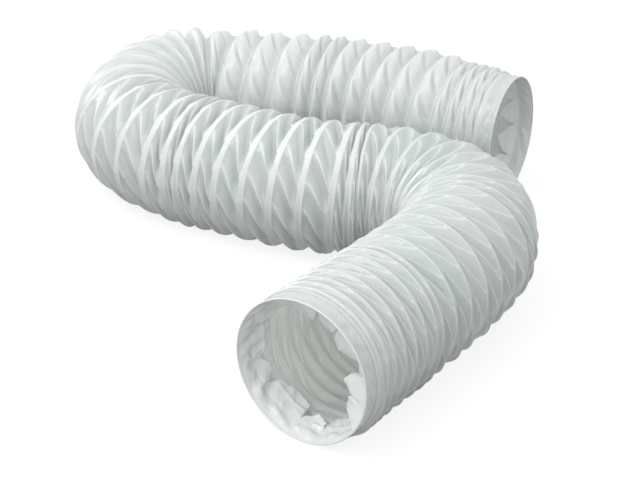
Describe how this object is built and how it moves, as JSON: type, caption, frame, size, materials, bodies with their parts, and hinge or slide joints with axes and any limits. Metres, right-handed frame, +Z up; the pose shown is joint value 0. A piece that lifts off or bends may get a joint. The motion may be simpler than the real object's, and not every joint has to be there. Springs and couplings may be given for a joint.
{
  "type": "flexible air duct",
  "caption": "Soft round air hose, a white film sleeve on a spring-steel wire helix, lying in two bends, open at both mouths.",
  "frame": {"origin": "on the surface that the hose lies on, under the middle of its outline", "axes": "+Z up; +Y from the front mouth's side to the rear bend's side, along the outline's longest extent"},
  "size_m": [0.407, 0.5879, 0.1055],
  "materials": {
    "film": "soft semi-gloss PVC film, off-white with a cool tint",
    "hem": "soft semi-gloss PVC film, turned in on itself",
    "wire": "drawn spring-steel wire"
  },
  "bodies": {
    "front_end": {"film_front_end": "film", "wire_front_end": "wire", "front_cuff": "hem"},
    "front_run": {"film_front_run": "film", "wire_front_run": "wire"},
    "front_bend_1": {"film_front_bend_1": "film", "wire_front_bend_1": "wire"},
    "front_bend_2": {"film_front_bend_2": "film", "wire_front_bend_2": "wire"},
    "front_bend_3": {"film_front_bend_3": "film", "wire_front_bend_3": "wire"},
    "front_bend_4": {"film_front_bend_4": "film", "wire_front_bend_4": "wire"},
    "front_bend_5": {"film_front_bend_5": "film", "wire_front_bend_5": "wire"},
    "front_bend_6": {"film_front_bend_6": "film", "wire_front_bend_6": "wire"},
    "front_bend_7": {"film_front_bend_7": "film", "wire_front_bend_7": "wire"},
    "middle_run": {"film_middle_run": "film", "wire_middle_run": "wire"},
    "rear_bend_1": {"film_rear_bend_1": "film", "wire_rear_bend_1": "wire"},
    "rear_bend_2": {"film_rear_bend_2": "film", "wire_rear_bend_2": "wire"},
    "rear_bend_3": {"film_rear_bend_3": "film", "wire_rear_bend_3": "wire"},
    "rear_bend_4": {"film_rear_bend_4": "film", "wire_rear_bend_4": "wire"},
    "rear_bend_5": {"film_rear_bend_5": "film", "wire_rear_bend_5": "wire"},
    "rear_bend_6": {"film_rear_bend_6": "film", "wire_rear_bend_6": "wire"},
    "rear_bend_7": {"film_rear_bend_7": "film", "wire_rear_bend_7": "wire"},
    "rear_bend_8": {"film_rear_bend_8": "film", "wire_rear_bend_8": "wire"},
    "rear_run": {"film_rear_run": "film", "wire_rear_run": "wire"},
    "rear_end": {"film_rear_end": "film", "wire_rear_end": "wire", "rear_cuff": "hem"}
  },
  "joints": [
    {"name": "front_bend_7_hinge", "type": "hinge", "parent": "middle_run", "child": "front_bend_7", "pos_m": [0.04251, 0.03203, 0.0525], "axis": [0, 0, 1], "range_deg": [-1, 14], "deforming": ["film_front_bend_7", "wire_front_bend_7", "film_middle_run", "wire_middle_run"]},
    {"name": "front_bend_6_hinge", "type": "hinge", "parent": "front_bend_7", "child": "front_bend_6", "pos_m": [0.0642, 0.02714, 0.0525], "axis": [0, 0, 1], "range_deg": [-1, 14], "deforming": ["film_front_bend_6", "wire_front_bend_6"]},
    {"name": "front_bend_5_hinge", "type": "hinge", "parent": "front_bend_6", "child": "front_bend_5", "pos_m": [0.08442, 0.01856, 0.0525], "axis": [0, 0, 1], "range_deg": [-1, 14], "deforming": ["film_front_bend_5", "wire_front_bend_5"]},
    {"name": "front_bend_4_hinge", "type": "hinge", "parent": "front_bend_5", "child": "front_bend_4", "pos_m": [0.10262, 0.00628, 0.0525], "axis": [0, 0, 1], "range_deg": [-1, 14], "deforming": ["film_front_bend_4", "wire_front_bend_4"]},
    {"name": "front_bend_3_hinge", "type": "hinge", "parent": "front_bend_4", "child": "front_bend_3", "pos_m": [0.11642, -0.01073, 0.0525], "axis": [0, 0, 1], "range_deg": [-1, 14], "deforming": ["film_front_bend_3", "wire_front_bend_3"]},
    {"name": "front_bend_2_hinge", "type": "hinge", "parent": "front_bend_3", "child": "front_bend_2", "pos_m": [0.12402, -0.03127, 0.0525], "axis": [0, 0, 1], "range_deg": [-1, 14], "deforming": ["film_front_bend_2", "wire_front_bend_2"]},
    {"name": "front_bend_1_hinge", "type": "hinge", "parent": "front_bend_2", "child": "front_bend_1", "pos_m": [0.12317, -0.0692, 0.0525], "axis": [0, 0, 1], "range_deg": [-1, 14], "deforming": ["film_front_bend_1", "wire_front_bend_1"]},
    {"name": "front_run_hinge", "type": "hinge", "parent": "front_bend_1", "child": "front_run", "pos_m": [0.11418, -0.09345, 0.0525], "axis": [0, 0, 1], "range_deg": [-1, 14], "deforming": ["film_front_run", "wire_front_run"]},
    {"name": "rear_bend_1_hinge", "type": "hinge", "parent": "middle_run", "child": "rear_bend_1", "pos_m": [-0.10763, 0.10521, 0.0525], "axis": [0, 0, 1], "range_deg": [-1, 18], "deforming": ["film_rear_bend_1", "wire_rear_bend_1"]},
    {"name": "rear_bend_2_hinge", "type": "hinge", "parent": "rear_bend_1", "child": "rear_bend_2", "pos_m": [-0.1251, 0.12014, 0.0525], "axis": [0, 0, 1], "range_deg": [-1, 18], "deforming": ["film_rear_bend_2", "wire_rear_bend_2"]},
    {"name": "rear_bend_3_hinge", "type": "hinge", "parent": "rear_bend_2", "child": "rear_bend_3", "pos_m": [-0.13994, 0.13765, 0.0525], "axis": [0, 0, 1], "range_deg": [-1, 18], "deforming": ["film_rear_bend_3", "wire_rear_bend_3"]},
    {"name": "rear_bend_4_hinge", "type": "hinge", "parent": "rear_bend_3", "child": "rear_bend_4", "pos_m": [-0.14874, 0.15878, 0.0525], "axis": [0, 0, 1], "range_deg": [-1, 18], "deforming": ["film_rear_bend_4", "wire_rear_bend_4"]},
    {"name": "rear_bend_5_hinge", "type": "hinge", "parent": "rear_bend_4", "child": "rear_bend_5", "pos_m": [-0.15024, 0.18014, 0.0525], "axis": [0, 0, 1], "range_deg": [-1, 18], "deforming": ["film_rear_bend_5", "wire_rear_bend_5"]},
    {"name": "rear_bend_6_hinge", "type": "hinge", "parent": "rear_bend_5", "child": "rear_bend_6", "pos_m": [-0.14623, 0.19773, 0.0525], "axis": [0, 0, 1], "range_deg": [-1, 18], "deforming": ["film_rear_bend_6", "wire_rear_bend_6"]},
    {"name": "rear_bend_7_hinge", "type": "hinge", "parent": "rear_bend_6", "child": "rear_bend_7", "pos_m": [-0.12806, 0.22418, 0.0525], "axis": [0, 0, 1], "range_deg": [-1, 18], "deforming": ["film_rear_bend_7", "wire_rear_bend_7"]},
    {"name": "rear_bend_8_hinge", "type": "hinge", "parent": "rear_bend_7", "child": "rear_bend_8", "pos_m": [-0.09966, 0.23908, 0.0525], "axis": [0, 0, 1], "range_deg": [-1, 18], "deforming": ["film_rear_bend_8", "wire_rear_bend_8"]},
    {"name": "rear_run_hinge", "type": "hinge", "parent": "rear_bend_8", "child": "rear_run", "pos_m": [-0.07936, 0.2408, 0.0525], "axis": [0, 0, 1], "range_deg": [-1, 18], "deforming": ["film_rear_run", "wire_rear_run"]},
    {"name": "front_stretch", "type": "slide", "parent": "front_run", "child": "front_end", "axis": [-0.5793, -0.8151, 0], "range_m": [-0.03, 0.05], "deforming": ["film_front_end", "wire_front_end"]},
    {"name": "rear_stretch", "type": "slide", "parent": "rear_run", "child": "rear_end", "axis": [0.8878, -0.4602, 0], "range_m": [-0.03, 0.05], "deforming": ["film_rear_end", "wire_rear_end"]}
  ]
}
